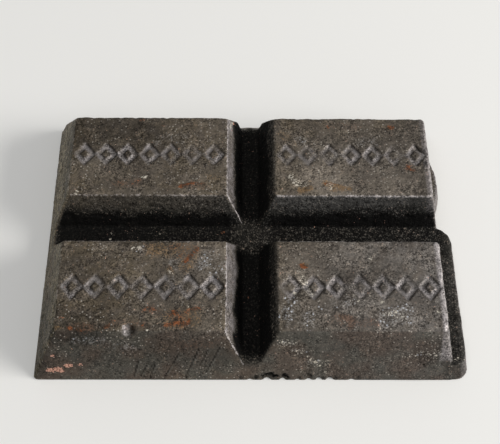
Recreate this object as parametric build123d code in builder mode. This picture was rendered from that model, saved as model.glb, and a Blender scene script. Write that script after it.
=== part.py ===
"""A cast ingot of type metal: four pads on one slab, with channels between them where it is broken up.

It lies as it was turned out of the mould, on the face that was open to the air when it was poured.
X runs left to right, Y front to back and Z up. The origin is on that resting face, under the point
where the two channels cross.
"""

import os
from math import radians, sqrt, tan

from build123d import *

# Pads, formed by the four pockets of the mould. Angles are in degrees, from upright.
pad_length = 73.0  # left to right, across the top
pad_width = 44.5  # front to back, across the top
pad_rise = 16.2  # from the channel floors to the top
wall_draft = 24.0  # lean of the pocket walls
back_draft = 29.5  # lean of the outer wall at the back
right_draft = 12.5  # lean of the outer wall on the right, which is steeper

# Break channels, formed by the ribs between the pockets.
cross_floor = 7.3  # floor of the channel that runs front to back
long_floor = 9.8  # floor of the channel that runs left to right

# Slab, the metal that stood over the ribs and joins the pads.
slab_thickness = 9.5
slab_draft = 8.0  # lean of its own wall at the back
shoulder_level = 7.0  # where that wall meets the pads' wall
shoulder_radius = 5.0

# Lip, where metal ran over the right-hand edge of the mould, along the front pad.
lip_reach = 6.1  # beyond the foot of the pad
lip_past_crossing = 7.0  # how far it runs on behind the crossing
lip_drop = 0.4  # of its top below the channel floors
lip_set_back = 0.3  # of its front wall behind the block's
lip_front_radius = 6.0
lip_back_radius = 10.0
lip_edge_radius = 2.2

# Lobe, a smaller run of metal along the back pad, round in plan.
lobe_reach = 2.6  # beyond the foot of the pad
lobe_radius = 34.0
lobe_middle = 31.0  # from the crossing to its widest point
lobe_edge_radius = 1.5

# Sinks in the resting face, one under each pad, where the metal froze last.
sink_length = 58.0
sink_width = 32.0
sink_depth = 0.9

# Rounded edges of the casting.
corner_radius = 2.4  # the block's four corners
ridge_radius = 1.8  # corners of the pads at the crossing, and mouths of the channels
root_radius = 1.4  # where the pads rise from the channel floors
crest_radius = 1.1  # around the top of each pad
foot_radius = 0.6  # around the resting face


def lean(draft_angle, rise):
    """How far a wall leans in over a rise."""
    return rise * tan(radians(draft_angle))


def arc_radius(chord, rise):
    """The radius of an arc that rises over a chord."""
    return chord**2 / (8 * rise) + rise / 2


def rises(edge):
    """Whether an edge goes up or down at all."""
    return abs((edge @ 1 - edge @ 0).Z) > foot_radius


def climbs(edge):
    """Whether an edge runs from one level to another."""
    return abs((edge @ 1 - edge @ 0).Z) > slab_thickness / 2


def passes_the_floor(face):
    """Whether a face is part of an outer wall, which runs on below the channel floors."""
    box = face.bounding_box()
    return box.min.Z < slab_thickness - crest_radius and box.max.Z > height - crest_radius


height = slab_thickness + pad_rise
cross_top = cross_floor + 2 * lean(wall_draft, pad_rise)
long_top = long_floor + 2 * lean(wall_draft, pad_rise)
block_length = 2 * pad_length + cross_top
block_width = 2 * pad_width + long_top
right_foot = block_length / 2 + lean(right_draft, pad_rise)
front_foot = -block_width / 2 - lean(wall_draft, pad_rise)
back_shoulder = block_width / 2 + lean(back_draft, height - shoulder_level)

floor_level = Plane.XY.offset(slab_thickness)
top_level = Plane.XY.offset(height)


with BuildPart() as block:
    # One block as high as the pads. Its walls lean out on the way down to the resting face.
    with BuildSketch(top_level):
        Rectangle(block_length, block_width)
    extrude(amount=-height)
    draft(faces().sort_by(Axis.X)[-1], top_level, right_draft)
    draft(faces().sort_by(Axis.Y)[-1], top_level, back_draft)
    draft([faces().sort_by(Axis.X)[0], faces().sort_by(Axis.Y)[0]], top_level, wall_draft)

    # At the back, the slab's own wall stands more upright.
    slab_wall = Plane((0, back_shoulder, shoulder_level), z_dir=(0, 1, tan(radians(slab_draft))))
    split(bisect_by=slab_wall, keep=Keep.BOTTOM)
    shoulder = edges().filter_by(Axis.X).filter_by_position(Axis.Z, foot_radius, height - crest_radius)
    fillet(shoulder, radius=shoulder_radius)
    fillet(edges().filter_by(rises), radius=corner_radius)

    # The channels, right through it, which leave the four pads.
    for section, top_width in ((Plane.XZ, cross_top), (Plane.YZ, long_top)):
        with BuildSketch(section):
            with Locations((0, slab_thickness)):
                Trapezoid(
                    top_width,
                    pad_rise,
                    90 - wall_draft,
                    rotation=180,
                    align=(Align.CENTER, Align.MAX),
                )
        extrude(amount=block_length, both=True, mode=Mode.SUBTRACT)

    # The corners at the crossing come first, so that the root around each pad is one smooth line.
    fillet(edges().filter_by(climbs).sort_by_distance((0, 0, height))[:4], radius=ridge_radius)
    fillet(edges().filter_by(Edge.is_interior), radius=root_radius)

    # The mouths of the channels, up one side and down the other.
    wall_edges = faces().filter_by(passes_the_floor).edges()
    wall_edges = wall_edges.filter_by_position(Axis.Z, slab_thickness - crest_radius, height - crest_radius)
    cross_mouths = wall_edges.filter_by_position(Axis.X, -cross_top, cross_top)
    long_mouths = wall_edges.filter_by_position(Axis.Y, -long_top, long_top)
    fillet(cross_mouths + long_mouths, radius=ridge_radius)
    fillet(faces().filter_by(Axis.Z).group_by(Axis.Z)[-1].edges(), radius=crest_radius)


with BuildPart() as lip:
    lip_front = front_foot + lip_set_back
    with BuildSketch(floor_level):
        with Locations((right_foot + lip_reach, lip_front)):
            Rectangle(right_foot, lip_past_crossing - lip_front, align=(Align.MAX, Align.MIN))
    extrude(amount=-slab_thickness)
    draft(faces().sort_by(Axis.X)[-1], floor_level, right_draft)
    draft(faces().sort_by(Axis.Y)[0], floor_level, wall_draft)
    fillet(edges().filter_by(climbs).group_by(Axis.X)[-1].sort_by(Axis.Y)[0], radius=lip_front_radius)
    fillet(edges().filter_by(climbs).sort_by(Axis.Y)[-1], radius=lip_back_radius)
    split(bisect_by=floor_level.offset(-lip_drop), keep=Keep.BOTTOM)
    fillet(faces().sort_by(Axis.X)[-1].edges().sort_by(Axis.Z)[-1], radius=lip_edge_radius)


with BuildPart() as lobe:
    # A disc with a leaning edge. Only the side that comes through the block's wall shows.
    with BuildSketch(floor_level):
        with Locations((right_foot + lobe_reach - lobe_radius, lobe_middle)):
            Circle(lobe_radius)
    extrude(amount=-slab_thickness, taper=-right_draft)
    fillet(edges().sort_by(Axis.Z)[-1], radius=lobe_edge_radius)


with BuildPart() as sink:
    # A ring so large that its top makes a shallow dish, an arc across the pad and a flatter one along it.
    across = arc_radius(sink_width, sink_depth)
    along = arc_radius(sink_length, sink_depth)
    low_half_width = sqrt(across**2 - (across - 2 * sink_depth) ** 2)
    with BuildSketch(Plane.YZ):
        with BuildLine():
            Polyline((low_half_width, -sink_depth), (-low_half_width, -sink_depth))
            ThreePointArc((-low_half_width, -sink_depth), (0, sink_depth), (low_half_width, -sink_depth))
        make_face()
    revolve(axis=Axis((0, 0, sink_depth - along), (0, 1, 0)))


with BuildPart() as ingot:
    add(block.part)
    add(lip.part)
    add(lobe.part)

    fillet(faces().filter_by(Axis.Z).group_by(Axis.Z)[0].edges(), radius=foot_radius)
    with GridLocations(block_length - pad_length, block_width - pad_width, 2, 2):
        add(sink.part, mode=Mode.SUBTRACT)

ingot.part.label = "ingot"

os.makedirs("parts", exist_ok=True)
export_step(ingot.part, "parts/ingot.step")
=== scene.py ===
"""A cast ingot of type metal on a pale floor.

X runs left to right, Y front to back and Z up, from the point on the resting face under the crossing of
the two channels. Lengths are in millimetres unless a comment says metres, and angles are in radians.
"""

from math import cos, radians, sin

import bpy
import numpy as np
from mathutils import Matrix, Vector
from mathutils.bvhtree import BVHTree


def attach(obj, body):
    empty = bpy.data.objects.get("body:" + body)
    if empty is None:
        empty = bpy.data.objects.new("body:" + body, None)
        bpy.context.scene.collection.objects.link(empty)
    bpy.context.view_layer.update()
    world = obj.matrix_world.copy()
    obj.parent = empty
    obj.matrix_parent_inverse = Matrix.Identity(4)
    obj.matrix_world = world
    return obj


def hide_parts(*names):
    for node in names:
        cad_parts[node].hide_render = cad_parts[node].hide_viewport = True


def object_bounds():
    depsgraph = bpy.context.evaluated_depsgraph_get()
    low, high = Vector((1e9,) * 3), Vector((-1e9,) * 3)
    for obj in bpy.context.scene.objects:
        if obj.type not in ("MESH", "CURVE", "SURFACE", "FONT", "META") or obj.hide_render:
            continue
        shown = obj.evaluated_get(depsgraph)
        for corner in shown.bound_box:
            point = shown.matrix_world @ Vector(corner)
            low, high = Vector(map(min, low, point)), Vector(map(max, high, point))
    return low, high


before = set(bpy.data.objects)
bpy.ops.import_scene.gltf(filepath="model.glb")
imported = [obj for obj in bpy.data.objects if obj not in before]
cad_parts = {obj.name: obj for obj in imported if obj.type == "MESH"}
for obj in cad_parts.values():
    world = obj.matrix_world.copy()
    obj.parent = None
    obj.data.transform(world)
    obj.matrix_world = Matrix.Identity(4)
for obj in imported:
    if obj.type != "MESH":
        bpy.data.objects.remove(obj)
cad_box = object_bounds()

MM = 0.001  # a millimetre in metres
NODE = "ingot"

# The ingot's driving sizes, as in its construction.
PAD_LENGTH = 73.0
PAD_WIDTH = 44.5
PAD_RISE = 16.2
CROSS_FLOOR = 7.3
LONG_FLOOR = 9.8
SLAB = 9.5  # its thickness, which is also the level of the channel floors
WALL_DRAFT = radians(24.0)

# What follows from them, at the level of the pads' tops.
TOP = SLAB + PAD_RISE
WALL_LEAN = PAD_RISE * np.tan(WALL_DRAFT)
CROSS_TOP = CROSS_FLOOR / 2 + WALL_LEAN  # half the channel's width
LONG_TOP = LONG_FLOOR / 2 + WALL_LEAN
PAD_MIDDLE = (CROSS_TOP + PAD_LENGTH / 2, LONG_TOP + PAD_WIDTH / 2)
FRONT_TOP = -(LONG_TOP + PAD_WIDTH)  # the front crests' Y
RIGHT_TOP = CROSS_TOP + PAD_LENGTH  # the right-hand crests' X

# The camera, as it stood over the object.
CAMERA_PITCH = 1.016
CAMERA_YAW = 0.032
CAMERA_ROLL = 0.031
CAMERA_TARGET = (0.033, 13.676, 0.0)
CAMERA_DISTANCE = 480.3
CAMERA_LENS = 72.0
CAMERA_SENSOR = 36.0
CAMERA_NEAR, CAMERA_FAR = 0.01, 20.0  # in metres

# The surroundings.
SKY_COLOUR = (0.96, 0.98, 1.0, 1.0)
SKY_STRENGTH = 0.32
FLOOR_HALF = 3.0  # in metres
FLOOR_COLOUR = (0.88, 0.87, 0.84, 1.0)
FLOOR_ROUGHNESS = 0.9
LOW_SPECULAR = 0.1  # for the floor and the metal

# The surface mesh. Its underside and back wall can do with fewer triangles.
GRID = 0.70
MOST_TRIANGLES = 194000
UNDERSIDE_FACING = -0.98
BACK_WALL_FACING, BACK_WALL_START = 0.5, 61.0

# The wear of the front pads' front crests: the strength of the smoothing, and where it fades out.
CREST_ROUNDS, CREST_SHARE = 26, 0.5
CREST_NEAR, CREST_FAR = 2.5, 5.0

# A row of sunk lozenges on each pad, where a foundry would put its mark.
LOZENGES = 7
LOZENGE_PITCH = 10.1
LOZENGE_HALF_WIDTH = 3.7
LOZENGE_HALF_HEIGHT = 4.7
LOZENGE_STROKE = 1.9
LOZENGE_DEPTH = 0.8
LOZENGE_OFF_MIDDLE = 0.8  # away from the long channel
LIT_SIDE_SHIFT, SHADED_SIDE_SHIFT = -0.35, 0.8  # of a stroke's painted highlight and painted shade

# The casting's waves: the size of the lumps, their depth and the seed of their noise. Pores come on top.
MEAN_DEPTH = 0.16
WAVES = ((24.0, 0.16, 1), (8.0, 0.12, 2), (3.0, 0.14, 3), (1.5, 0.11, 4))
PORE_SIZE, PORE_SEED, PORE_START = 2.5, 12, 0.45

# The rough top of the lip.
LEDGE_START = 83.5
LEDGE_DEPTH = 0.45
LEDGE_WAVES = ((4.2, 0.40, 5), (2.0, 0.25, 6))

# The skin of the underside, which thins out towards its rim. The rim is at these half lengths.
SKIN_DEPTH = 0.16
SKIN_WAVES = ((11.0, 0.14, 8), (3.5, 0.08, 9))
RIM_X, RIM_Y = 92.0, 64.0

# The back mouth of the cross channel, where a piece of the slab's edge has broken off.
BREAK_HALF_WIDTH = 6.5
BREAK_DEPTH = 3.2

# How dark the channels, the lip and the foot's pits are painted, from 0 to 1: soot, with painted shade and
# painted shadow where the light does not reach.
LONG_WALL_SOOT_AND_SHADOW, LONG_FLOOR_SOOT_AND_SHADE = 0.985, 0.966
CROSS_WALL_SOOT_AND_SHADOW, CROSS_FLOOR_SOOT_AND_SHADE = 0.99, 0.978
LEDGE_SOOT = 0.86
CREST_SHADE = 0.6
FOOT_PIT_SHADOW = 0.97

# Listed marks: where each starts (x, y, z), how far it runs (x, y), its radius, and how strong it is,
# from 0 to 1. The first tables are the coloured ones.
RUST = [
    # Left back pad.
    (-32.0, 17.0, TOP, 0.5, 0.5, 1.9, 1.0), (-30.0, 18.0, TOP, 3.0, 1.0, 1.5, 1.0),
    (-27.0, 19.0, TOP, 5.5, -0.5, 1.4, 0.8), (-54.5, 18.5, TOP, 4.0, 2.5, 1.4, 0.5),
    (-52.5, 55.0, TOP, 1.5, 0.0, 1.2, 0.7), (-63.0, 18.5, TOP, 3.5, 0.0, 2.4, 0.4),
    (-42.5, 52.5, TOP, 1.0, 0.0, 1.4, 0.35),
    # Right back pad.
    (37.0, 52.0, TOP, 0.0, -1.0, 1.2, 0.75), (66.5, 51.5, TOP, 1.5, 0.0, 2.1, 0.9),
    (73.5, 28.5, TOP, 0.5, -1.0, 1.9, 0.85), (75.5, 26.5, TOP, 1.5, 0.0, 1.2, 0.7),
    (51.0, 46.0, TOP, 0.0, 0.0, 1.2, 0.5), (34.5, 19.0, TOP, 2.5, -0.5, 1.3, 0.85),
    (59.0, 51.5, TOP, 0.0, 0.0, 1.0, 0.4), (36.0, 19.0, TOP, 5.0, -0.5, 1.1, 0.55),
    (24.0, 15.5, TOP, 2.0, 1.0, 1.1, 0.4),
    # Left front pad.
    (-46.0, -14.5, TOP, 0.5, 0.0, 1.3, 0.5), (-36.5, -15.5, TOP, 4.5, 1.0, 1.8, 0.6),
    (-24.0, -16.0, TOP, -3.5, -4.5, 2.0, 0.75), (-26.5, -19.5, TOP, -2.5, -3.5, 1.7, 0.95),
    (-32.5, -20.0, TOP, 1.5, 0.5, 1.4, 0.6), (-36.0, -25.0, TOP, 0.5, -3.0, 1.2, 0.6),
    (-44.5, -44.5, TOP, -1.5, -2.5, 1.6, 0.6), (-43.0, -46.0, TOP, 3.0, -1.0, 1.5, 0.6),
    (-33.5, -47.5, TOP, 1.0, 0.0, 1.8, 1.0), (-36.0, -48.5, TOP, 1.5, 0.0, 1.3, 0.6),
    (-25.5, -46.0, TOP, 3.0, 0.5, 1.7, 0.8), (-28.0, -47.5, TOP, 1.5, 1.0, 1.6, 0.6),
    (-26.5, -51.0, TOP, 0.0, -1.5, 1.4, 0.95), (-27.5, -53.0, TOP, -5.0, 0.5, 2.0, 0.8),
    (-32.0, -52.5, TOP, -4.5, -1.0, 1.8, 0.75), (-31.0, -50.0, TOP, -1.5, -1.5, 2.0, 0.55),
    (-45.5, -53.5, TOP, -1.0, 0.0, 1.4, 0.7), (-60.5, -54.0, TOP, -1.5, -0.5, 1.4, 0.9),
    (-58.5, -51.5, TOP, -1.5, -1.0, 1.5, 0.4), (-76.5, -55.0, TOP, -1.0, 0.5, 1.8, 0.8),
    (-71.0, -56.0, 25.2, -3.0, 0.0, 1.6, 0.5), (-81.0, -50.0, TOP, 0.0, 0.0, 2.0, 0.4),
    (-10.8, -20.5, 25.2, 0.0, 0.5, 0.9, 0.8),
    # Right front pad, and the channel floors.
    (22.0, -24.5, TOP, 1.5, -0.5, 1.9, 1.0), (-13.5, 2.0, SLAB, 1.0, 0.0, 1.1, 0.9),
    (-1.0, -32.0, SLAB, 0.0, 0.0, 0.9, 0.6),
]
RUST_DULL = [
    (-60.0, 18.5, TOP, 8.0, 0.5, 4.0, 0.45), (-29.0, 17.5, TOP, 7.0, -0.5, 3.2, 0.5),
    (-31.0, -51.0, TOP, 0.0, 0.0, 7.5, 0.65), (-43.0, -46.0, TOP, 3.0, -1.0, 4.0, 0.5),
    (-74.0, -55.0, TOP, 6.0, 0.0, 4.0, 0.55), (-30.0, -18.0, TOP, 4.0, 1.0, 6.0, 0.45),
    (-59.0, -52.5, TOP, 14.0, -1.0, 3.5, 0.4), (66.0, 51.0, TOP, 0.0, 0.0, 4.0, 0.4),
    (74.5, 27.5, TOP, 0.0, 0.0, 4.0, 0.45), (37.0, 52.0, TOP, 14.0, 0.0, 4.0, 0.35),
    (38.5, -49.5, TOP, 4.5, -1.5, 3.0, 0.78), (43.0, -51.5, TOP, -1.0, -2.5, 3.0, 0.72),
    (47.0, -52.5, TOP, 5.0, 0.0, 4.0, 0.52), (36.0, -51.0, TOP, 6.0, -1.0, 5.5, 0.42),
    (-91.0, -14.0, 10.0, 0.0, -16.0, 8.0, 0.4), (-30.0, -59.5, 19.0, 12.0, 0.0, 5.0, 0.35),
    (22.0, -24.5, TOP, 1.5, -0.5, 2.8, 0.5),
]
OCHRE = [
    (22.5, -24.5, TOP, 1.0, 0.0, 2.4, 0.8), (23.0, 15.0, TOP, 4.0, 1.5, 3.0, 0.75),
    (34.5, 19.0, TOP, 7.5, -2.5, 2.6, 0.85), (37.0, 16.0, TOP, 8.5, 0.0, 2.4, 0.7),
    (27.0, 19.0, TOP, 0.0, 0.0, 2.5, 0.5), (15.0, 47.0, TOP, 5.0, -5.0, 4.0, 0.35),
    (-29.5, -53.0, TOP, -6.0, 0.0, 3.5, 0.5), (-44.0, -16.0, TOP, 18.0, -2.0, 7.0, 0.5),
    (-26.0, -19.0, TOP, -3.0, -6.0, 6.0, 0.5), (-34.0, -50.0, TOP, 8.0, 0.0, 8.0, 0.45),
    (-83.0, -54.5, 25.0, 2.0, 0.0, 1.6, 0.7), (-19.0, 22.0, TOP, 3.0, 0.0, 3.0, 0.35),
    (-36.0, -26.0, TOP, 1.0, -2.0, 2.5, 0.5),
]
PALE = [
    (-50.5, 22.0, TOP, 2.5, 0.5, 0.9, 1.0), (-79.5, 14.0, TOP, 0.0, 0.0, 1.1, 1.0),
    (-81.0, 13.0, TOP, 1.5, -0.5, 1.0, 0.7), (18.5, 22.5, TOP, 1.0, -1.5, 2.8, 0.62),
    (20.0, 19.5, TOP, 6.0, -1.0, 2.8, 0.52), (18.0, 22.5, TOP, 0.5, -0.5, 0.9, 0.95),
    (36.5, 16.0, TOP, 0.5, 0.0, 0.9, 1.0), (36.0, 18.5, TOP, 1.0, -0.5, 2.2, 0.55),
    (-52.5, -16.0, TOP, 3.0, 0.5, 1.5, 0.75), (-44.0, -56.0, 25.4, 0.0, 0.0, 1.5, 0.9),
    (-27.0, -43.5, TOP, 0.0, -1.0, 1.0, 0.7), (-36.0, -27.5, TOP, 1.0, -1.0, 1.2, 0.7),
    (56.0, -42.5, TOP, 0.5, 0.0, 1.3, 1.0), (62.0, -47.0, TOP, 0.0, 0.0, 1.2, 1.0),
    (57.0, -47.0, TOP, 8.0, -2.0, 3.2, 0.42), (80.0, -47.0, TOP, 0.0, 0.0, 1.2, 0.9),
    (81.5, -47.5, TOP, 0.0, 0.0, 0.9, 0.7), (46.0, -42.0, TOP, 0.0, 0.0, 1.1, 0.85),
    (52.5, -21.0, TOP, 0.5, 0.0, 1.1, 0.85), (-53.2, -55.2, 24.6, 0.3, 0.0, 1.3, 0.75),
    (22.5, -31.0, TOP, 3.0, -8.0, 3.2, 0.5), (18.5, -38.0, TOP, 0.5, 0.0, 1.2, 1.0),
    (-64.5, 1.5, SLAB, 0.0, 0.0, 0.9, 0.75), (-64.0, 0.5, SLAB, 0.0, 0.0, 0.8, 0.6),
    (89.0, -61.5, 9.0, 0.0, 0.0, 1.3, 0.8), (93.0, -61.5, 8.0, 0.0, 0.0, 1.0, 0.9),
    (47.5, -58.0, 23.0, 0.0, 0.0, 0.6, 0.8), (13.0, -59.0, 20.5, 4.0, -1.0, 4.5, 0.42),
    (20.0, -61.0, 16.0, 4.0, -1.5, 5.5, 0.35), (27.0, -63.5, 10.0, 4.0, -1.0, 5.0, 0.33),
    (70.0, -62.0, 14.0, 10.0, 0.0, 5.0, 0.35), (24.0, -62.0, 13.0, 0.0, 0.0, 0.9, 1.0),
    (25.5, -63.0, 11.0, 0.0, 0.0, 1.0, 1.0), (27.5, -63.5, 10.0, 0.0, 0.0, 1.0, 1.0),
    (29.5, -64.5, 8.0, 0.0, 0.0, 1.0, 1.0), (32.0, -66.0, 5.0, 0.5, 0.0, 0.9, 0.9),
    (13.0, -59.0, 20.5, 0.0, 0.0, 1.0, 1.0), (-42.0, 1.0, SLAB, 0.0, 0.0, 0.7, 0.7),
    (-65.5, -1.5, SLAB, 1.0, 0.3, 0.9, 0.75), (90.5, -60.5, 9.1, 0.0, 0.0, 1.0, 0.9),
    (-8.5, 58.0, 20.0, 0.0, 0.0, 1.7, 1.0), (-9.5, 55.5, 22.0, 0.0, -1.5, 1.4, 1.0),
    (-9.0, 51.5, 21.0, 0.0, 0.0, 1.0, 0.8), (77.5, -58.5, 21.0, 0.0, 0.0, 0.6, 0.8),
    (28.0, -58.0, 23.0, 0.0, 0.0, 0.6, 0.8), (32.0, 26.0, TOP, 0.0, 0.0, 0.6, 0.9),
]
SILVER = [
    (14.0, -51.0, TOP, 3.0, 9.0, 5.5, 0.95), (24.0, -53.0, TOP, 1.0, 3.0, 5.0, 0.8),
    (28.0, -46.0, TOP, 16.0, 4.0, 4.0, 0.55), (58.0, -50.0, TOP, 6.0, 3.0, 7.0, 0.9),
    (66.0, -50.0, TOP, 0.0, 4.0, 6.0, 0.7), (-22.0, -25.0, TOP, 6.0, 2.0, 4.5, 0.8),
    (-18.0, -22.0, TOP, 3.0, -5.0, 8.5, 0.75), (-34.0, -24.0, TOP, -1.0, -6.0, 4.0, 0.6),
    (-50.0, -17.0, TOP, 4.0, 1.0, 3.5, 0.7), (12.0, -59.0, 20.0, 6.0, -1.0, 2.2, 0.9),
    (19.0, -61.0, 16.0, 5.0, -1.5, 2.5, 0.8), (26.0, -63.5, 10.0, 3.0, 0.0, 2.5, 0.8),
    (68.0, -61.5, 14.0, 14.0, 0.0, 3.0, 0.5), (-43.0, 42.0, TOP, 10.0, 2.0, 5.0, 0.45),
    (52.0, 43.0, TOP, 8.0, -1.0, 5.0, 0.4), (20.0, 42.0, TOP, 5.0, 2.0, 4.0, 0.5),
    (-75.0, -58.5, 21.0, 12.0, 0.0, 3.0, 0.55), (-60.0, -60.0, 18.0, 10.0, 0.0, 4.0, 0.4),
    (-80.0, 32.0, TOP, 5.0, 0.0, 5.0, 0.4),
]
BARE = [
    (-87.5, -65.5, 5.5, 1.5, 0.0, 2.0, 0.9), (-84.5, -65.5, 6.0, 2.0, -0.5, 2.3, 1.0),
    (-82.0, -65.5, 5.0, 0.5, 0.0, 1.6, 0.9), (-80.0, -64.5, 8.0, 2.0, 0.0, 1.5, 1.0),
    (-74.0, -64.5, 8.5, 0.5, 0.0, 1.1, 0.85), (-85.0, -62.5, 13.0, 0.0, 0.0, 1.4, 0.9),
    (-9.5, 57.5, 22.0, 0.0, 0.0, 1.2, 0.8), (-8.0, 58.5, 18.5, 0.0, 0.0, 1.3, 0.8),
    (-9.0, 53.0, 21.0, 0.0, 0.0, 1.1, 0.75),
]

# Broad lighter and darker stretches.
LIGHT = [
    (16.0, 18.0, TOP, 20.0, 0.0, 17.0, 1.0), (14.0, 52.0, TOP, 16.0, 0.0, 14.0, 0.4),
    (-20.0, -22.0, TOP, 6.0, 0.0, 15.0, 0.9), (-62.0, -28.0, TOP, 30.0, 0.0, 11.0, 0.35),
    (50.0, -18.0, TOP, 30.0, 0.0, 14.0, 0.75), (58.0, -45.0, TOP, 20.0, -4.0, 12.0, 0.45),
    (20.0, -28.0, TOP, 0.0, -10.0, 12.0, 0.4), (44.0, 18.0, TOP, 34.0, 0.0, 12.0, 0.35),
    (-26.0, 18.0, TOP, 10.0, 4.0, 12.0, 0.25), (-91.5, 18.0, 9.0, 0.0, 32.0, 7.0, 0.8),
]
DARK = [
    (-80.0, -54.0, TOP, 14.0, 0.0, 13.0, 0.8), (-80.0, 48.0, TOP, 26.0, -2.0, 18.0, 0.7),
    (56.0, 42.0, TOP, 12.0, 0.0, 10.0, 0.35), (42.0, -34.0, TOP, 12.0, 0.0, 9.0, 0.35),
    (-86.0, -61.0, 16.0, 72.0, 0.0, 15.0, 0.5), (76.0, 9.0, 21.0, 6.0, 0.0, 9.0, 0.8),
    (24.0, 9.0, 21.0, 16.0, 0.0, 8.0, 0.45), (-92.0, -60.0, 8.0, 2.0, 22.0, 14.0, 0.85),
    # The second mark on the next line is a painted shadow along the left wall just below the left back pad's
    # crest.
    (-88.0, -57.5, 22.0, 20.0, 0.0, 8.0, 1.0), (-85.8, 16.0, 22.0, 0.0, 36.0, 4.0, 0.8),
    (30.0, -59.0, 20.0, 40.0, 0.0, 12.0, 0.12), (76.0, -61.0, 15.0, 12.0, 0.0, 11.0, 0.6),
]

# Dents in the casting and pits in the front foot, also as marks. A dent's last number is its depth.
DENTS = [
    (-29.0, 52.5, TOP, 0.0, 0.0, 1.9, 1.1), (-73.0, 53.0, TOP, 0.0, 0.0, 2.6, 0.5),
    (-76.5, -56.5, 25.0, 1.0, 0.0, 3.2, 0.5), (79.0, 39.5, TOP, 2.0, -1.5, 1.1, 1.2),
    (81.0, 30.5, TOP, 0.5, 0.5, 1.2, 1.3), (-85.0, -48.0, 24.5, 0.0, 3.0, 3.0, 0.5),
    (74.5, -64.5, 8.5, 0.3, 0.0, 1.2, 0.9), (83.5, -64.5, 8.0, 0.0, 0.0, 1.0, 0.7),
    (30.5, -62.0, 14.5, 0.5, 0.0, 1.2, 0.55), (44.0, -24.0, TOP, 0.0, 0.0, 1.2, 0.35),
    (-58.0, 26.0, TOP, 0.0, 0.0, 1.4, 0.3), (62.0, -61.0, 17.0, 0.0, 0.0, 1.0, 0.3),
    (22.0, 33.0, TOP, 0.0, 0.0, 1.4, 0.35), (30.0, -55.5, TOP, 0.0, 0.0, 2.2, 0.4),
    (13.0, -54.0, TOP, 0.0, 8.0, 1.6, 0.45),
]
FOOT_PITS = [
    (2.0, -67.3, 1.7, 0.0, 0.0, 1.5, 1.0), (5.0, -67.1, 2.2, 1.0, 0.0, 1.3, 0.8),
    (6.5, -66.7, 3.1, 1.5, 0.0, 1.5, 0.9), (8.7, -66.5, 3.4, 0.0, 0.0, 1.7, 1.0),
    (9.8, -67.0, 2.1, 0.0, 0.0, 1.5, 1.0), (11.0, -67.0, 2.1, 0.0, 0.0, 1.7, 1.0),
    (14.6, -66.8, 2.6, 0.0, 0.0, 2.1, 1.0), (15.8, -67.3, 1.5, 0.0, 0.0, 1.4, 1.0),
    (25.0, -67.0, 2.3, 0.0, 0.0, 2.1, 1.0), (20.5, -67.3, 1.4, 1.0, 0.0, 1.1, 0.5),
    (31.5, -67.3, 1.5, 0.5, 0.0, 1.1, 0.5), (37.0, -67.4, 1.2, 0.0, 0.0, 1.1, 0.6),
    (46.5, -67.4, 1.3, 0.5, 0.0, 1.1, 0.5), (-4.5, -67.4, 1.3, 0.0, 0.0, 1.2, 0.6),
]
FOOT_PIT_DEPTH = 1.1

# Notches in the line of the front foot: the place of each along X, half its width and its depth.
NOTCHES = [
    (7.0, 2.2, 1.2), (13.8, 1.6, 1.0), (25.2, 1.6, 0.8), (29.7, 1.7, 1.3), (34.5, 2.1, 1.3), (20.3, 1.2, 0.5),
    (44.0, 1.6, 0.5), (-0.5, 1.4, 0.5),
]

# The crater in the left front pad's crest.
CRATER = (-52.1, -55.8, 25.0)
CRATER_RADIUS = 3.8
CRATER_DEPTH = 1.9

# Scored lines on the front wall, from end to end. Each end is (x, z).
SCORES = [
    ((-48.5, 10.5), (-51.0, 2.0)), ((-45.0, 8.0), (-48.0, 2.5)), ((-41.5, 8.5), (-44.0, 1.5)),
    ((-31.0, 14.5), (-37.5, 2.0)), ((-22.5, 17.0), (-28.5, 2.0)), ((-18.5, 16.0), (-22.0, 8.5)),
    ((-13.5, 17.5), (-19.5, 4.5)),
]
SCORE_WIDTH = 0.28
SCORE_DEPTH = 0.3
SCORE_EDGE_SHIFT = 0.7  # of the painted highlight beside each

# Colours of the metal and of what lies on it.
BROWN_OXIDE = (0.091, 0.073, 0.050)
SLATE_OXIDE = (0.114, 0.098, 0.080)
COOL_OXIDE = (0.108, 0.100, 0.094)
PATCH_OXIDE = (0.094, 0.079, 0.065)
INNER_WALL = (0.088, 0.087, 0.087)
FRONT_REDDISH = (0.092, 0.070, 0.057)
FRONT_GREENISH = (0.082, 0.080, 0.070)
LEFT_DARK = (0.064, 0.053, 0.035)
LEFT_LIGHT = (0.172, 0.146, 0.099)
UNDER_SOOT_AND_SHADE = (0.092, 0.090, 0.078)
PIT_DARK = (0.020, 0.016, 0.012)
SILVERY = (0.30, 0.30, 0.30)
GLINT = (0.58, 0.59, 0.62)
FLECK = (0.42, 0.38, 0.33)
LIT_SIDE_HIGHLIGHT = (0.265, 0.243, 0.243)
STROKE_SHADE_COLOUR = (0.020, 0.017, 0.014)
STROKE_HIGHLIGHT_COLOUR = (0.255, 0.235, 0.232)
OCHRE_DUST = (0.215, 0.128, 0.055)
DULL_RUST = (0.102, 0.052, 0.031)
DARK_RUST = (0.092, 0.044, 0.023)
BRIGHT_RUST = (0.195, 0.063, 0.023)
PALE_DUST = (0.46, 0.42, 0.35)
SOOT_AND_SHADE_BLACK = (0.0014, 0.0013, 0.0012)
BARE_DARK = (0.190, 0.090, 0.060)
BARE_BRIGHT = (0.690, 0.390, 0.295)
SCORE_EDGE_HIGHLIGHT = (0.17, 0.16, 0.14)
SCORE_SHADOW = (0.006, 0.005, 0.004)
WORN_AND_HIGHLIGHT = (0.47, 0.43, 0.42)

# A mark is at its full strength within this share of its radius.
SPOT_CORE = 0.25

# Large odd numbers that make a random number of a whole-number place, and a shift that keeps places above 0.
SCATTER_X, SCATTER_Y, SCATTER_Z, SCATTER = 374761393, 668265263, 2147483647, 1274126177
NOISE_SHIFT = 1000.0


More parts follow.
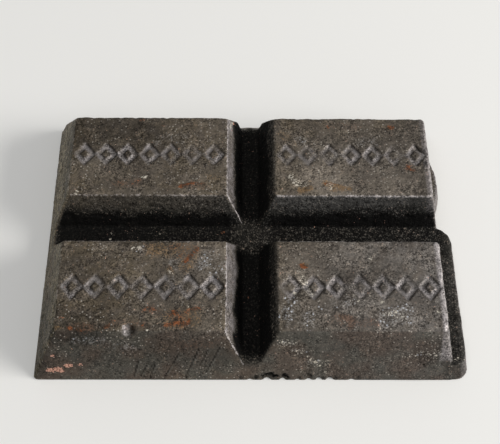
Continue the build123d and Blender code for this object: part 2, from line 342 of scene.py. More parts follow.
def make_camera():
    """A camera at the photograph's viewing angle."""
    pitch, yaw, roll = CAMERA_PITCH, CAMERA_YAW, CAMERA_ROLL
    forward = Vector((sin(yaw) * cos(pitch), cos(yaw) * cos(pitch), -sin(pitch)))
    level = Vector((cos(yaw), -sin(yaw), 0.0))
    above = level.cross(forward)
    right = level * cos(roll) + above * sin(roll)
    up = -level * sin(roll) + above * cos(roll)
    place = (Vector(CAMERA_TARGET) - forward * CAMERA_DISTANCE) * MM
    camera = bpy.data.objects.new("camera", bpy.data.cameras.new("camera"))
    turn = Matrix((right, up, -forward)).transposed()
    camera.matrix_world = Matrix.Translation(place) @ turn.to_4x4()
    camera.data.lens = CAMERA_LENS
    camera.data.sensor_width = CAMERA_SENSOR
    camera.data.clip_start = CAMERA_NEAR
    camera.data.clip_end = CAMERA_FAR
    bpy.context.scene.collection.objects.link(camera)
    bpy.context.scene.camera = camera


def make_light(name, place, size, power, colour):
    """A soft rectangular lamp that shines on the object. Its place and size are in metres."""
    lamp = bpy.data.lights.new(name, "AREA")
    lamp.shape = "RECTANGLE"
    lamp.size, lamp.size_y = size
    lamp.energy = power
    lamp.color = colour
    holder = bpy.data.objects.new(name, lamp)
    holder.location = place
    holder.rotation_euler = (-Vector(place)).to_track_quat("-Z", "Y").to_euler()
    bpy.context.scene.collection.objects.link(holder)


def make_lights():
    """A large window-like lamp low on the right, a soft one overhead, and an even sky."""
    make_light("window", (2.2, -0.35, 1.05), size=(1.5, 1.0), power=56.0, colour=(1.0, 0.985, 0.96))
    make_light("overhead", (-0.3, -0.2, 3.0), size=(2.4, 2.4), power=28.0, colour=(0.99, 0.99, 1.0))
    world = bpy.data.worlds.new("sky")
    world.use_nodes = True
    world.node_tree.nodes["Background"].inputs["Color"].default_value = SKY_COLOUR
    world.node_tree.nodes["Background"].inputs["Strength"].default_value = SKY_STRENGTH
    bpy.context.scene.world = world


def make_floor():
    """A plain pale floor."""
    mesh = bpy.data.meshes.new("floor")
    turns = ((-1, -1), (1, -1), (1, 1), (-1, 1))
    mesh.from_pydata([(x * FLOOR_HALF, y * FLOOR_HALF, 0) for x, y in turns], [], [(0, 1, 2, 3)])
    floor = bpy.data.objects.new("floor", mesh)
    bpy.context.scene.collection.objects.link(floor)
    material = bpy.data.materials.new("floor")
    material.use_nodes = True
    shader = material.node_tree.nodes["Principled BSDF"]
    shader.inputs["Base Color"].default_value = FLOOR_COLOUR
    shader.inputs["Roughness"].default_value = FLOOR_ROUGHNESS
    shader.inputs["Specular IOR Level"].default_value = LOW_SPECULAR
    mesh.materials.append(material)


def hashed(ix, iy, iz, seed):
    """A repeatable random number from 0 to 1 for each whole-number place."""
    mixed = ix * SCATTER_X + iy * SCATTER_Y + iz * SCATTER_Z + seed * SCATTER
    mixed = (mixed ^ (mixed >> 13)) * SCATTER
    mixed = mixed ^ (mixed >> 16)
    return (mixed & 0xFFFFFF) / float(0xFFFFFF)


def noise(places, size, seed):
    """Smooth noise from -1 to 1 at an array of places, with lumps of about a given size."""
    scaled = places / size + NOISE_SHIFT
    whole = np.floor(scaled).astype(np.int64)
    part = scaled - whole
    part = part * part * part * (part * (part * 6 - 15) + 10)
    total = np.zeros(len(places))
    for corner in range(8):
        step = (corner & 1, corner >> 1 & 1, corner >> 2 & 1)
        weight = np.ones(len(places))
        for axis in range(3):
            weight *= part[:, axis] if step[axis] else 1 - part[:, axis]
        value = hashed(whole[:, 0] + step[0], whole[:, 1] + step[1], whole[:, 2] + step[2], seed)
        total += weight * (value * 2 - 1)
    return total


def waves(places, mean, layers):
    """A mean value with several layers of noise. Each is its size, its height and its seed."""
    total = np.full(len(places), mean)
    for size, height, seed in layers:
        total += height * noise(places, size, seed)
    return total


def smoothstep(low, high, value):
    """0 below low, 1 above high and a smooth rise between."""
    share = np.clip((value - low) / (high - low), 0.0, 1.0)
    return share * share * (3 - 2 * share)


def spots(places, marks):
    """The strongest mark at each place, fading out to its radius."""
    strength = np.zeros(len(places))
    for x, y, z, run_x, run_y, radius, most in marks:
        run = np.array((run_x, run_y, 0.0))
        offset = places - np.array((x, y, z))
        share = np.clip(offset @ run / max(run @ run, 1e-9), 0.0, 1.0)
        distance = np.linalg.norm(offset - share[:, None] * run, axis=1)
        strength = np.maximum(strength, most * (1 - smoothstep(SPOT_CORE * radius, radius, distance)))
    return strength


def vertex_places(mesh):
    """A mesh's vertices as an array of places."""
    places = np.empty(len(mesh.vertices) * 3)
    mesh.vertices.foreach_get("co", places)
    return places.reshape(-1, 3) / MM


def move_vertices(mesh, places):
    """Put a mesh's vertices at an array of places."""
    mesh.vertices.foreach_set("co", (places * MM).ravel())


def mesh_edges(mesh):
    """A mesh's edges as pairs of vertex numbers."""
    edges = np.empty(len(mesh.edges) * 2, dtype=np.int64)
    mesh.edges.foreach_get("vertices", edges)
    return edges.reshape(-1, 2)


def neighbour_mean(values, edges, count):
    """The mean of each vertex's neighbours."""
    total = np.zeros_like(values)
    np.add.at(total, edges[:, 0], values[edges[:, 1]])
    np.add.at(total, edges[:, 1], values[edges[:, 0]])
    return total / count[:, None]


def smoothed(values, edges, rounds, share):
    """Values drawn towards their neighbours' mean, by a share that may differ from vertex to vertex."""
    count = np.bincount(edges.ravel(), minlength=len(values)).astype(float)
    for _ in range(rounds):
        values = values + share * (neighbour_mean(values, edges, count) - values)
    return values


def true_surface(mesh, tree):
    """The nearest place on the construction's surface to each vertex, and its normal there."""
    places = vertex_places(mesh)
    normals = np.empty_like(places)
    for i, place in enumerate(places * MM):
        hit, normal, _, _ = tree.find_nearest(place)
        places[i] = np.array(hit) / MM
        normals[i] = normal
    return places, normals


def applied(mesh, kind, weights=None, **settings):
    """A mesh with one modifier applied to it, where a vertex has any weight."""
    work = bpy.data.objects.new("work", mesh)
    bpy.context.scene.collection.objects.link(work)
    modifier = work.modifiers.new("change", kind)
    if weights is not None:
        group = work.vertex_groups.new(name="there")
        group.add([int(i) for i in np.flatnonzero(weights)], 1.0, "REPLACE")
        modifier.vertex_group = group.name
    for name, value in settings.items():
        setattr(modifier, name, value)
    result = bpy.data.meshes.new_from_object(work.evaluated_get(bpy.context.evaluated_depsgraph_get()))
    bpy.data.objects.remove(work)
    return result


def triangles(mesh):
    """How many triangles a mesh has."""
    return sum(len(polygon.vertices) - 2 for polygon in mesh.polygons)


def lozenge_strokes(places, normals, shift=0.0):
    """1 in the strokes of the lozenges on the pads and 0 beside them. The shift moves them to the right."""
    strokes = np.zeros(len(places))
    on_top = smoothstep(0.9, 0.98, normals[:, 2]) * smoothstep(TOP - 1.5, TOP - 0.5, places[:, 2])
    scale = LOZENGE_HALF_WIDTH * LOZENGE_HALF_HEIGHT / np.hypot(LOZENGE_HALF_WIDTH, LOZENGE_HALF_HEIGHT)
    for side_x in (-1, 1):
        for side_y in (-1, 1):
            y = places[:, 1] - side_y * (PAD_MIDDLE[1] + LOZENGE_OFF_MIDDLE)
            for i in range(LOZENGES):
                x = places[:, 0] - side_x * PAD_MIDDLE[0] - (i - (LOZENGES - 1) / 2) * LOZENGE_PITCH - shift
                ring = (np.abs(x) / LOZENGE_HALF_WIDTH + np.abs(y) / LOZENGE_HALF_HEIGHT - 1) * scale
                stroke = 1 - smoothstep(0.3 * LOZENGE_STROKE, 0.75 * LOZENGE_STROKE, np.abs(ring))
                strokes = np.maximum(strokes, stroke)
    return strokes * on_top


def lozenge_wear(places):
    """How much of the lozenges' depth is left at each place."""
    return np.clip(waves(places, 0.85, ((7.0, 0.75, 21), (2.2, 0.25, 22))), 0.2, 1.3)


def score_strength(places, normals, shift=0.0):
    """1 in the scored lines on the front wall and 0 beside them. The shift moves them to the right."""
    strength = np.zeros(len(places))
    front = smoothstep(0.6, 0.8, -normals[:, 1]) * (places[:, 1] < FRONT_TOP)
    for (start_x, start_z), (end_x, end_z) in SCORES:
        along = np.array((end_x - start_x, end_z - start_z))
        offset = places[:, [0, 2]] - np.array((start_x + shift, start_z))
        share = np.clip(offset @ along / np.hypot(*along) ** 2, 0, 1)
        distance = np.linalg.norm(offset - share[:, None] * along, axis=1)
        strength = np.maximum(strength, 1 - smoothstep(0.3 * SCORE_WIDTH, 2.0 * SCORE_WIDTH, distance))
    return strength * front


def crater_strength(places):
    """1 in the middle of the crater in the left front pad's crest and 0 beyond its radius."""
    distance = np.linalg.norm(places - np.array(CRATER), axis=1)
    return 1 - smoothstep(0.35 * CRATER_RADIUS, CRATER_RADIUS, distance)


def soften(places, edges):
    """The front crests of the front pads, worn rounder than the rest."""
    _, y, z = places.T
    share = CREST_SHARE * (1 - smoothstep(CREST_NEAR, CREST_FAR, np.hypot(y - FRONT_TOP, z - TOP)))
    return smoothed(places, edges, CREST_ROUNDS, share[:, None])


def notch_depth(places):
    """How far the front foot is cut back at each place."""
    x, y, z = places.T
    depth = np.zeros(len(places))
    for middle, half_width, most in NOTCHES:
        depth = np.maximum(depth, most * (1 - smoothstep(0.2 * half_width, half_width, np.abs(x - middle))))
    return depth * (1 - smoothstep(0.8, 2.6, z)) * smoothstep(-FRONT_TOP + 5, -FRONT_TOP + 8, -y)


def break_depth(places):
    """How far the slab's back edge is broken away at the cross channel's mouth."""
    x, y, z = places.T
    along_x = np.column_stack((x, 0 * x, 0 * x))
    broken = 1 - smoothstep(0.6 * BREAK_HALF_WIDTH, BREAK_HALF_WIDTH, np.abs(x))
    broken *= waves(along_x, 0.85, ((2.2, 0.45, 32),))
    return BREAK_DEPTH * broken * smoothstep(3.0, 8.5, z) * smoothstep(56.0, 66.0, y)


def sink_depth(places, normals):
    """How far each vertex sinks below the construction's surface."""
    x, y, z = places.T
    depth = waves(places, MEAN_DEPTH, WAVES)
    depth += np.clip(noise(places, PORE_SIZE, PORE_SEED) - PORE_START, 0.0, None)
    ledge = smoothstep(LEDGE_START, LEDGE_START + 2.5, x) * (1 - smoothstep(SLAB + 0.5, SLAB + 2.0, z))
    depth += ledge * smoothstep(0.2, 0.8, normals[:, 2]) * waves(places, LEDGE_DEPTH, LEDGE_WAVES)
    depth += spots(places, DENTS) + FOOT_PIT_DEPTH * spots(places, FOOT_PITS)
    depth += LOZENGE_DEPTH * lozenge_strokes(places, normals) * lozenge_wear(places)
    depth += SCORE_DEPTH * score_strength(places, normals) + CRATER_DEPTH * crater_strength(places)
    depth = np.clip(depth, 0.0, None) * smoothstep(0.0, 1.5, z)

    rim = smoothstep(3.0, 9.0, np.minimum(RIM_X - np.abs(x), RIM_Y - np.abs(y)))
    skin = np.clip(waves(places, SKIN_DEPTH, SKIN_WAVES), 0.0, None) * rim
    under = smoothstep(0.8, 0.95, -normals[:, 2])
    return depth * (1 - under) + skin * under


def long_channel_soot_and_shadow(x, y, down, ragged, floor):
    """Soot and painted shadow in the channel from left to right, its floor painted lighter to the right,
    towards the light. Its walls are thinly covered at the top.
    """
    inside = 1 - smoothstep(0.2, 1.2, np.abs(y) - LONG_TOP + down * np.tan(WALL_DRAFT))
    thin = (0.38 + 0.05 * smoothstep(-60.0, 20.0, x)) * smoothstep(0.3, 1.5, down)
    thin_share = (1 - smoothstep(4.5, 12.0, ragged + 0.8 * smoothstep(10.0, 50.0, x))) ** 2
    walls = LONG_WALL_SOOT_AND_SHADOW - (LONG_WALL_SOOT_AND_SHADOW - thin) * thin_share
    return inside * (walls * (1 - floor) + (LONG_FLOOR_SOOT_AND_SHADE - 0.00018 * x) * floor)


def cross_channel_soot_and_shadow(x, y, down, ragged, floor, lit):
    """Soot and painted shade in the channel from front to back. Walls that face the light are clean at the
    top with painted shadow below; walls facing away are painted in shade.
    """
    inside = 1 - smoothstep(0.2, 1.2, np.abs(x) - CROSS_TOP + down * np.tan(WALL_DRAFT))
    lit_wall = smoothstep(5.4, 9.2, ragged - (1.0 + 1.6 * smoothstep(-46.0, -14.0, y)) * (y < 0))
    dark_wall = 0.9 * smoothstep(0.2, 1.9, down) + 0.1 * smoothstep(3.0, 7.0, ragged)
    walls = CROSS_WALL_SOOT_AND_SHADOW * (lit * lit_wall + (1 - lit) * dark_wall)
    across = inside * (walls * (1 - floor) + CROSS_FLOOR_SOOT_AND_SHADE * floor)

    # Painted shade is also on the right pads' crests beside the channel, which turn away from the light.
    crest = (x > 0) * (1 - smoothstep(0.2, 1.9, np.abs(x - CROSS_TOP + 0.3)))
    crest = crest * (1 - smoothstep(1.0, 2.0, down)) * smoothstep(-1.0, 1.0, np.abs(y) - LONG_TOP)
    return np.maximum(across, CREST_SHADE * crest)


def ledge_soot(x, y, z, normals):
    """The soot on the lip's top, thinner towards its outer edge and its back end."""
    ledge = smoothstep(LEDGE_START, LEDGE_START + 1.5, x) * (1 - smoothstep(SLAB - 0.5, SLAB + 2.0, z))
    ledge *= smoothstep(0.2, 0.6, normals[:, 2]) * (1 - 0.7 * smoothstep(8.0, 14.0, y))
    return (LEDGE_SOOT - 0.14 * smoothstep(88.0, 93.0, x)) * ledge


def soot_and_shade_share(places, normals):
    """How sooty or painted in shade each place is, from 0 to 1."""
    x, y, z = places.T
    down = TOP - z
    ragged = down + waves(places, 0.0, ((7.0, 1.7, 41), (2.0, 0.6, 42)))
    floor = smoothstep(0.6, 0.9, normals[:, 2]) * smoothstep(8.0, 12.0, down)
    lit = smoothstep(0.3, 0.6, normals[:, 0])
    along = long_channel_soot_and_shadow(x, y, down, ragged, floor)
    across = cross_channel_soot_and_shadow(x, y, down, ragged, floor, lit)
    crossing = (1 - smoothstep(5.0, 11.0, np.abs(x))) * (1 - smoothstep(5.0, 11.0, np.abs(y)))
    soot_and_shade = np.maximum(along, across) * (1 - 0.09 * crossing)

    # It thins out towards the mouths, and the slab's own walls have little.
    soot_and_shade *= smoothstep(SLAB - 3.5, SLAB - 1.0, z)
    outside = np.maximum(smoothstep(60.0, 65.0, np.abs(y)), smoothstep(88.0, 93.0, np.abs(x)))
    soot_and_shade *= 1 - 0.35 * outside
    soot_and_shade *= 1 - 0.65 * smoothstep(0.5, 0.8, np.abs(normals[:, 1])) * (np.abs(y) > 60.0)
    soot_and_shade *= 1 - 0.95 * smoothstep(0.08, 0.3, -normals[:, 0]) * (x < -80)
    soot_and_shade = np.maximum(soot_and_shade, ledge_soot(x, y, z, normals))
    # The pits in the front foot are painted dark as their shadow.
    return np.maximum(soot_and_shade, FOOT_PIT_SHADOW * np.minimum(1.3 * spots(places, FOOT_PITS), 1.0))


def lit_side_highlight_share(places, normals, soot_and_shade):
    """How much painted highlight each place has, from 0 to 1: the faces that look right, towards the light,
    and the right-hand crests.
    """
    x, y, z = places.T
    outer_wall, inner_wall = smoothstep(0.3, 0.6, normals[:, 0]), smoothstep(0.55, 0.85, normals[:, 0])
    lit_side_highlight = np.where(x > 80, outer_wall, inner_wall) * (1 - np.clip(1.3 * soot_and_shade, 0, 1))
    crest = smoothstep(RIGHT_TOP - 3.2, RIGHT_TOP - 1.8, x) * smoothstep(SLAB + 0.5, SLAB + 1.5, z)
    return np.maximum(lit_side_highlight, crest * np.where(y < 0, 1.0, 0.6))


def add_attribute(mesh, name, values):
    """A number from 0 to 1 for each vertex, for the material to read."""
    attribute = mesh.attributes.new(name, "FLOAT", "POINT")
    attribute.data.foreach_set("value", np.clip(values, 0.0, 1.0).astype(np.float32))


def add_marks(mesh, places, normals):
    """Where the metal is sooty or painted in shade, rusty, bare or painted with a highlight, and which face
    of the casting is which.
    """
    x, y, _ = places.T
    soot_and_shade = soot_and_shade_share(places, normals)
    crater = crater_strength(places)
    # The crater's left wall, which faces the light, gets a painted highlight, and its right side painted
    # shade.
    shaded_side = smoothstep(0.0, 1.3, x - CRATER[0])
    crater_highlight = smoothstep(0.1, 0.4, crater) * (1 - shaded_side)
    crater_shade = smoothstep(0.1, 0.5, crater) * shaded_side
    wear = lozenge_wear(places)
    # The lozenges' strokes get a painted highlight on their left sides, which face the light, and painted
    # shade on their right sides.
    lit_stroke = wear * lozenge_strokes(places, normals, LIT_SIDE_SHIFT)
    shaded_stroke = wear * lozenge_strokes(places, normals, SHADED_SIDE_SHIFT) * (1 - lit_stroke)
    shares = {
        "soot_and_shade": soot_and_shade,
        "lit_side_highlight": np.maximum(lit_side_highlight_share(places, normals, soot_and_shade), crater_highlight),
        "stroke_highlight": lit_stroke,
        "stroke_and_crater_shade": np.maximum(shaded_stroke, crater_shade),
        "score": score_strength(places, normals),
        "score_edge_highlight": score_strength(places, normals, SCORE_EDGE_SHIFT),
        "slate": x / 170 + waves(places, 0.5, ((30.0, 0.45, 51), (9.0, 0.25, 52))),
        "cool": smoothstep(0.0, 60.0, x) * smoothstep(-20.0, 20.0, -y),
        "tone": 0.5 + 0.5 * (spots(places, LIGHT) - spots(places, DARK)),
        "left_wall": smoothstep(0.4, 0.75, -normals[:, 0]) * (x < -60),
        "front_wall": smoothstep(0.55, 0.85, -normals[:, 1]) * (y < -50),
        "inner_wall": smoothstep(0.5, 0.8, -normals[:, 1]) * (y > 0) * smoothstep(-60.0, 30.0, x),
        "rust": spots(places, RUST),
        "rust_dull": spots(places, RUST_DULL),
        "ochre": spots(places, OCHRE),
        "pale": spots(places, PALE),
        "silver": spots(places, SILVER),
        "bare": spots(places, BARE),
    }
    for name, values in shares.items():
        add_attribute(mesh, name, values)


def cast_surface(source, tree):
    """An even mesh over the construction, with the casting's waves, pits and worn edges."""
    mesh = applied(source.data.copy(), "REMESH", mode="VOXEL", voxel_size=GRID * MM)
    places, normals = true_surface(mesh, tree)
    edges = mesh_edges(mesh)
    normals = smoothed(normals, edges, 3, 0.5)
    normals /= np.linalg.norm(normals, axis=1)[:, None]
    places = soften(places, edges)
    shift = notch_depth(places) - break_depth(places)
    places = places - normals * sink_depth(places, normals)[:, None]
    places[:, 1] += shift
    move_vertices(mesh, places)

    # The flat underside gives up most of its triangles, and the back wall a few.
    back_wall = (normals[:, 1] > BACK_WALL_FACING) & (places[:, 1] > BACK_WALL_START)
    plain = (normals[:, 2] < UNDERSIDE_FACING) | back_wall
    mesh = applied(mesh, "DECIMATE", weights=plain, ratio=MOST_TRIANGLES / triangles(mesh))
    lowest, highest = (np.array(corner) / MM for corner in cad_box)
    move_vertices(mesh, np.clip(vertex_places(mesh), lowest, highest))
    return mesh


def make_ingot():
    """The casting's visible surface, which stands for the construction's."""
    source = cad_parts[NODE]
    tree = BVHTree.FromObject(source, bpy.context.evaluated_depsgraph_get())
    mesh = cast_surface(source, tree)
    add_marks(mesh, *true_surface(mesh, tree))
    mesh.shade_smooth()
    mesh.materials.clear()
    mesh.materials.append(CastMetal().material)
    ingot = bpy.data.objects.new("ingot_surface", mesh)
    bpy.context.scene.collection.objects.link(ingot)
    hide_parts(NODE)
    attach(ingot, "root")


def wear_and_highlight_lines():
    """The knocked crests and ridges, and painted highlights on crests that face the light, as start, end,
    width and strength.
    """
    low, top = SLAB + 0.8, TOP - 0.35
    edge_x, edge_y, right_x = CROSS_TOP - 0.1, LONG_TOP - 0.1, RIGHT_TOP + 0.1
    back_start, back_end = edge_y + 1.0, edge_y + 42.0
    front_start, front_end = FRONT_TOP + 2.0, -edge_y - 1.0
    return [
        # The two left pads, towards the cross channel: wear and a painted highlight, on crests that face the
        # light.
        ((-edge_x, back_start, top), (-edge_x, back_end, top), 0.7, 0.75),
        ((-edge_x, edge_y + 0.8, top), (-3.8, 7.0, low), 0.75, 1.0),
        ((-edge_x, front_start, top), (-edge_x, front_end, top), 0.7, 0.9),
        ((-11.1, -56.5, 24.0), (-9.8, -57.8, 21.2), 0.7, 0.7),
        ((-9.8, -57.8, 21.2), (-7.2, -60.3, 16.0), 0.65, 0.75),
        ((-7.2, -60.3, 16.0), (-3.4, -64.0, 8.6), 0.65, 0.65),
        # Front crests of the back pads, and back crests of the front pads.
        ((40.0, edge_y, top), (83.0, edge_y, top), 0.9, 0.75),
        ((12.0, edge_y, top), (20.0, edge_y, top), 0.9, 0.7),
        ((20.0, edge_y, top), (40.0, edge_y, top), 0.9, 0.45),
        ((-82.0, edge_y, top), (-12.0, edge_y, top), 0.9, 0.5),
        ((12.0, -edge_y, top), (83.0, -edge_y, top), 0.8, 0.65),
        ((-82.0, -edge_y, top), (-12.0, -edge_y, top), 0.8, 0.6),
        # Right-hand crests, which face the light: painted highlight.
        ((right_x, back_start, top), (right_x, back_end, top), 2.0, 0.6),
        ((right_x - 0.4, front_start, top), (right_x - 0.4, front_end, top), 2.7, 0.78),
        ((right_x, FRONT_TOP + 0.5, top), (86.9, -62.5, 10.5), 1.8, 0.5),
        ((86.9, -62.3, 9.2), (92.5, -62.0, 8.8), 0.8, 0.5),
        # The crater's lit side.
        ((-54.0, -54.4, 25.0), (-53.2, -57.0, 24.2), 1.5, 0.8),
        # Left-hand crests.
        ((-RIGHT_TOP, back_start, top), (-RIGHT_TOP, back_end, top), 0.8, 0.4),
        ((-RIGHT_TOP, FRONT_TOP + 8.0, top), (-RIGHT_TOP, front_end, top), 0.8, 0.4),
    ]


class Shading:
    """Short ways of building a material's nodes. A value is a number, a colour or another node's output."""

    def __init__(self, name):
        self.material = bpy.data.materials.new(name)
        self.material.use_nodes = True
        self.tree = self.material.node_tree
        self.shader = self.tree.nodes["Principled BSDF"]
        coordinates = self.tree.nodes.new("ShaderNodeTexCoord")
        self.place = self.scaled(coordinates.outputs["Object"], 1 / MM)

    def put(self, socket, value):
        """A value on a socket, linked if it's another node's output."""
        if isinstance(value, bpy.types.NodeSocket):
            self.tree.links.new(value, socket)
        else:
            socket.default_value = value

    def math(self, operation, *values, clamp=False):
        node = self.tree.nodes.new("ShaderNodeMath")
        node.operation = operation
        node.use_clamp = clamp
        for socket, value in zip(node.inputs, values):
            self.put(socket, value)
        return node.outputs[0]

    def times(self, first, second, clamp=False):
        return self.math("MULTIPLY", first, second, clamp=clamp)

    def plus(self, first, second, clamp=False):
        return self.math("ADD", first, second, clamp=clamp)

    def larger(self, first, second):
        return self.math("MAXIMUM", first, second)

    def rest_of(self, share):
        """1 less a share."""
        return self.math("SUBTRACT", 1.0, share)

    def vector(self, operation, *values, scale=None):
        node = self.tree.nodes.new("ShaderNodeVectorMath")
        node.operation = operation
        for socket, value in zip(node.inputs, values):
            self.put(socket, value)
        if scale is not None:
            self.put(node.inputs["Scale"], scale)
        return node.outputs["Value" if operation in ("LENGTH", "DOT_PRODUCT") else "Vector"]

    def scaled(self, value, scale):
        return self.vector("SCALE", value, scale=scale)

    def noise(self, size, detail=2.0, roughness=0.5, stretch=(1.0, 1.0, 1.0), shift=0.0, output="Fac"):
        """Noise from 0 to 1 with lumps of about a given size."""
        node = self.tree.nodes.new("ShaderNodeTexNoise")
        lengths = tuple(1 / (size * s) for s in stretch)
        self.put(node.inputs["Vector"], self.vector("MULTIPLY_ADD", self.place, lengths, (shift,) * 3))
        self.put(node.inputs["Scale"], 1.0)
        self.put(node.inputs["Detail"], detail)
        self.put(node.inputs["Roughness"], roughness)
        return node.outputs[output]

    def between(self, value, low, high, to_low=0.0, to_high=1.0):
        """A smooth rise from one value to another as the input goes from low to high."""
        node = self.tree.nodes.new("ShaderNodeMapRange")
        node.interpolation_type = "SMOOTHSTEP"
        for socket, number in zip(node.inputs, (value, low, high, to_low, to_high)):
            self.put(socket, number)
        return node.outputs[0]

    def mix(self, share, first, second):
        """One colour turning into another by a share."""
        node = self.tree.nodes.new("ShaderNodeMix")
        node.data_type = "RGBA"
        sockets = {socket.identifier: socket for socket in node.inputs}
        self.put(sockets["Factor_Float"], share)
        for name, colour in (("A_Color", first), ("B_Color", second)):
            self.put(sockets[name], colour if isinstance(colour, bpy.types.NodeSocket) else (*colour, 1.0))
        return next(socket for socket in node.outputs if socket.identifier == "Result_Color")

    def attribute(self, name):
        """A number that add_marks left on the mesh."""
        node = self.tree.nodes.new("ShaderNodeAttribute")
        node.attribute_name = name
        return node.outputs["Fac"]

    def grains(self, size, radius, share, shift=0.0):
        """1 in scattered round grains and 0 between them. A share of the cells of this size have one."""
        node = self.tree.nodes.new("ShaderNodeTexVoronoi")
        moved = self.vector("MULTIPLY_ADD", self.place, (1 / size,) * 3, (shift,) * 3)
        self.put(node.inputs["Vector"], moved)
        self.put(node.inputs["Scale"], 1.0)
        chance = self.vector("DOT_PRODUCT", node.outputs["Color"], (1.0, 0.0, 0.0))
        there = self.between(chance, share, share + 0.1, 1.0, 0.0)
        grain = self.between(node.outputs["Distance"], 0.5 * radius / size, radius / size, 1.0, 0.0)
        return self.times(grain, there)

    def line(self, start, end, width, place):
        """1 on a straight line between two places and 0 beyond its width."""
        along = Vector(end) - Vector(start)
        offset = self.vector("SUBTRACT", place, start)
        share = self.vector("DOT_PRODUCT", offset, tuple(along / along.length_squared))
        foot = self.scaled(tuple(along), self.times(share, 1.0, clamp=True))
        distance = self.vector("LENGTH", self.vector("SUBTRACT", offset, foot))
        return self.between(distance, 0.35 * width, width, 1.0, 0.0)

    def bump(self, height, distance, under=None):
        """A surface normal for a height, over another normal if there is one."""
        node = self.tree.nodes.new("ShaderNodeBump")
        self.put(node.inputs["Height"], height)
        self.put(node.inputs["Distance"], distance * MM)
        if under is not None:
            self.put(node.inputs["Normal"], under)
        return node.outputs["Normal"]


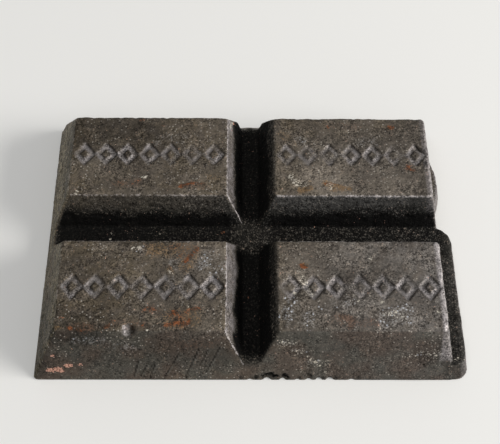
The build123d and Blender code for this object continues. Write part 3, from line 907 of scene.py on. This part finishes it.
class CastMetal(Shading):
    """Dark oxidised type metal. Each step lays one more thing over the colour that is there."""

    def __init__(self):
        super().__init__("cast_type_metal")
        self.fine = self.noise(0.70, roughness=0.7)
        self.grain = self.noise(1.9, roughness=0.55, shift=7.0)
        self.patch = self.noise(5.0, detail=3.0, roughness=0.55, shift=3.0)
        self.wide = self.noise(18.0, shift=11.0)
        self.streak = self.noise(1.0, roughness=0.6, stretch=(1.1, 9.0, 1.1), shift=5.0)
        self.pits = self.grains(2.2, 0.62, 0.5, shift=4.0)
        self.rough = self.fine_and_grain(0.5)
        self.crumbs = self.math("MULTIPLY_ADD", self.fine_and_grain(0.75), 2.0, -1.0)
        self.soot_and_shade = self.attribute("soot_and_shade")
        self.silver = self.attribute("silver")
        self.left = self.attribute("left_wall")
        self.front = self.attribute("front_wall")
        self.speckle = self.calmed(self.fine_and_grain(0.65))

        self.lay_oxide()
        self.lay_bright_grains()
        self.lay_painted_highlights()
        self.lay_rust_and_dust()
        self.lay_soot_and_shade()
        self.lay_bare_metal()
        self.lay_scores()
        self.lay_wear_and_highlights()
        self.finish()

    def fine_and_grain(self, fine_share):
        """The fine noise and the coarser grain, mixed."""
        return self.plus(self.times(self.fine, fine_share), self.times(self.grain, 1 - fine_share))

    def calmed(self, speckle):
        """The speckle, weaker in patches and on the front wall."""
        calm = self.larger(self.between(self.noise(9.0, shift=31.0), 0.36, 0.62, 0.35, 1.2), self.silver)
        strength = self.times(calm, self.rest_of(self.times(self.front, 0.25)))
        return self.plus(self.times(self.math("SUBTRACT", speckle, 0.5), strength), 0.5)

    def cover(self, share, colour, most=1.0):
        """Another colour over what is there, by a share and at most this much."""
        if most < 1.0:
            share = self.times(share, most)
        self.colour = self.mix(share, self.colour, colour)

    def shade(self, factor):
        """What is there, made lighter or darker."""
        self.colour = self.scaled(self.colour, factor)

    def speckled(self, colour, darkest=0.5, lightest=1.5):
        """A colour made darker and lighter by the speckle."""
        return self.scaled(colour, self.between(self.speckle, 0.36, 0.64, darkest, lightest))

    def broken(self, name, low, high):
        """A hand-placed mark with a crumbly edge."""
        return self.between(self.plus(self.times(self.attribute(name), 0.7), self.crumbs), low, high)

    def lay_oxide(self):
        """Brown to slate patches, with a strong fine speckle and small dark pits."""
        self.colour = self.mix(self.attribute("slate"), BROWN_OXIDE, SLATE_OXIDE)
        self.cover(self.attribute("cool"), COOL_OXIDE, 0.65)
        self.cover(self.between(self.patch, 0.35, 0.70), PATCH_OXIDE, 0.7)
        self.shade(self.between(self.wide, 0.3, 0.7, 0.80, 1.22))
        self.cover(self.attribute("inner_wall"), INNER_WALL, 0.8)
        greenish = self.between(self.noise(13.0, shift=23.0), 0.36, 0.64)
        self.cover(self.front, self.mix(greenish, FRONT_REDDISH, FRONT_GREENISH), 0.65)

        # The left wall has streaks, drawn out along it and broken up by the grain.
        break_up = self.math("SUBTRACT", self.plus(self.fine, self.grain), 1.0)
        streaks = self.between(self.math("MULTIPLY_ADD", break_up, 0.45, self.streak), 0.36, 0.66)
        self.cover(self.left, self.mix(streaks, LEFT_DARK, LEFT_LIGHT))

        self.shade(self.plus(self.attribute("tone"), 0.5))
        self.cover(self.soot_and_shade, UNDER_SOOT_AND_SHADE, 0.6)
        # The speckle stands for the metal's grain together with a painted sparkle.
        self.shade(self.between(self.speckle, 0.35, 0.67, 0.36, 1.95))
        self.cover(self.pits, PIT_DARK, 0.6)

    def lay_bright_grains(self):
        """Silvery grains where the skin is thin, with painted glints among them, and pale flecks all over."""
        silvery = self.times(self.silver, self.between(self.patch, 0.3, 0.55))
        self.cover(self.times(silvery, self.between(self.speckle, 0.50, 0.60)), SILVERY)
        glints = self.times(self.grains(1.3, 0.55, 0.22, shift=13.0), self.between(self.silver, 0.3, 0.7))
        self.cover(glints, GLINT, 0.8)
        dusting = self.times(self.grains(1.5, 0.45, 0.5), self.between(self.wide, 0.40, 0.62, 0.35, 1.0))
        flecks = self.larger(dusting, self.times(self.between(self.speckle, 0.63, 0.70), 0.6))
        self.cover(flecks, FLECK, 0.75)

    def lay_painted_highlights(self):
        """A painted highlight on the faces and crests that look right, towards the light, and painted
        highlight and shade on the lozenges' strokes and the crater.
        """
        uneven = self.between(self.plus(self.fine, self.patch), 0.80, 1.15, 0.35, 1.0)
        highlighted = self.times(self.attribute("lit_side_highlight"), uneven)
        self.cover(highlighted, self.speckled(LIT_SIDE_HIGHLIGHT, 0.55, 1.5), 0.8)
        self.cover(self.attribute("stroke_and_crater_shade"), STROKE_SHADE_COLOUR, 0.9)
        patchy = self.between(self.patch, 0.35, 0.6, 0.35, 0.85)
        self.cover(self.times(self.attribute("stroke_highlight"), patchy), self.speckled(STROKE_HIGHLIGHT_COLOUR, 0.3, 1.8))

    def lay_rust_and_dust(self):
        """Rust in three shades, and pale dust."""
        self.cover(self.broken("ochre", 0.20, 0.65), self.speckled(OCHRE_DUST), 0.7)
        self.cover(self.broken("rust_dull", 0.15, 0.70), self.speckled(DULL_RUST), 0.65)
        self.rusty, self.dusty = self.broken("rust", 0.28, 0.68), self.broken("pale", 0.34, 0.58)
        orange = self.mix(self.between(self.grain, 0.40, 0.60), DARK_RUST, BRIGHT_RUST)
        self.cover(self.rusty, self.speckled(orange), 0.9)
        self.cover(self.dusty, self.speckled(PALE_DUST))

    def lay_soot_and_shade(self):
        """Soot and painted shade, deepest in the channels. Specks show through where it is thinner."""
        specks = self.larger(self.between(self.crumbs, 0.08, 0.26), self.grains(1.25, 0.5, 0.35, shift=9.0))
        specks = self.times(specks, self.between(self.soot_and_shade, 0.95, 0.985, 0.68, 0.04))
        specks = self.larger(specks, self.times(self.larger(self.rusty, self.dusty), 0.85))
        self.soot_and_shade_cover = self.times(self.times(self.soot_and_shade, self.rest_of(specks)), 0.995)
        self.cover(self.soot_and_shade_cover, SOOT_AND_SHADE_BLACK)

    def lay_bare_metal(self):
        """Freshly broken spots, reddish and bright."""
        self.bare = self.broken("bare", 0.34, 0.46)
        self.cover(self.bare, self.mix(self.between(self.fine, 0.40, 0.56), BARE_DARK, BARE_BRIGHT))

    def lay_scores(self):
        """The scored lines, each painted dark as the shadow in its groove, with a painted highlight along one
        edge.
        """
        edge = self.times(self.attribute("score_edge_highlight"), self.between(self.grain, 0.4, 0.6, 0.0, 0.6))
        self.cover(edge, SCORE_EDGE_HIGHLIGHT)
        score = self.times(self.attribute("score"), self.between(self.patch, 0.35, 0.6, 0.55, 0.95))
        self.cover(score, SCORE_SHADOW)

    def lay_wear_and_highlights(self):
        """Bright lines where crests and ridges were knocked, and painted highlights on crests that face the
        light. They wander a little and are broken.
        """
        shake = self.vector("SUBTRACT", self.noise(1.6, output="Color"), (0.5, 0.5, 0.5))
        place = self.vector("ADD", self.place, self.scaled(shake, 0.9))
        wear_and_highlight = 0.0
        for start, end, width, strength in wear_and_highlight_lines():
            wear_and_highlight = self.larger(wear_and_highlight, self.times(self.line(start, end, width, place), strength))
        self.wear_and_highlight = self.times(wear_and_highlight, self.between(self.plus(self.rough, self.times(wear_and_highlight, 0.3)), 0.55, 0.82))
        self.cover(self.wear_and_highlight, self.scaled(WORN_AND_HIGHLIGHT, self.between(self.rough, 0.4, 0.6, 0.7, 1.2)))

    def finish(self):
        """The shader's own sockets: colour, metal, roughness, gloss and fine relief."""
        self.put(self.shader.inputs["Base Color"], self.colour)
        exposed = self.times(self.rest_of(self.soot_and_shade_cover), 0.4)
        metallic = self.larger(exposed, self.times(self.larger(self.wear_and_highlight, self.bare), 0.6))
        self.put(self.shader.inputs["Metallic"], metallic)
        skin = self.between(self.fine, 0.3, 0.7, 0.62, 0.42)
        self.put(self.shader.inputs["Roughness"], self.plus(skin, self.times(self.soot_and_shade, 0.35), clamp=True))
        self.put(self.shader.inputs["Specular IOR Level"], LOW_SPECULAR)

        height = self.plus(self.grain, self.times(self.fine, 0.6))
        height = self.plus(height, self.times(self.times(self.streak, self.left), 0.7))
        height = self.math("SUBTRACT", height, self.times(self.pits, 0.5))
        self.put(self.shader.inputs["Normal"], self.bump(height, 0.38, self.bump(self.patch, 0.55)))


make_camera()
make_lights()
make_floor()
make_ingot()
bpy.context.scene.view_settings.view_transform = "Standard"
